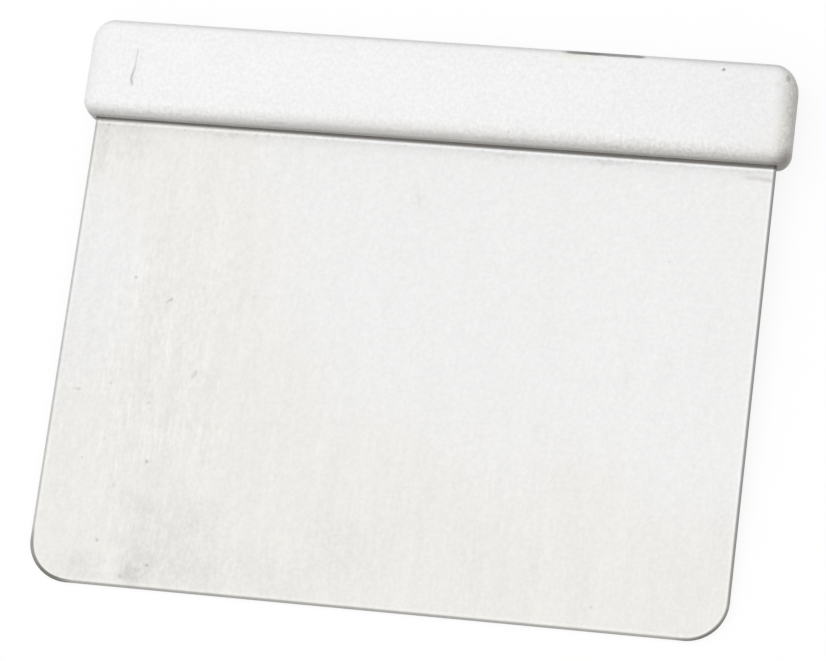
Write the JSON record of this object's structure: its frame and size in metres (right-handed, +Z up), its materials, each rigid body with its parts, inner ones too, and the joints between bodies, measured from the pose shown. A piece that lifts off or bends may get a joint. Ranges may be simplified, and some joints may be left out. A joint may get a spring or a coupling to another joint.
{
  "type": "dough scraper",
  "caption": "Flat bench scraper for dough: a rectangular stainless steel blade with rounded lower corners, its tang held in a moulded plastic bar handle.",
  "frame": {"origin": "centre of the bounding box's base, on the bench that the scraper lies on with its front face up", "axes": "+X along the handle, to the right seen from above with the handle away from the viewer; +Y from the scraping edge towards the handle, level with the bench; +Z up from the bench. The blade rises by 2.9 degrees from its scraping edge to the handle, as the real one lies"},
  "size_m": [0.15, 0.1212, 0.0122],
  "materials": {
    "blade_steel": "satin stainless, with a fine grain that runs from the handle to the scraping edge",
    "handle_plastic": "white moulded polypropylene, finely textured and slightly satin"
  },
  "bodies": {
    "root": {"blade": "blade_steel", "handle": "handle_plastic"}
  },
  "joints": []
}
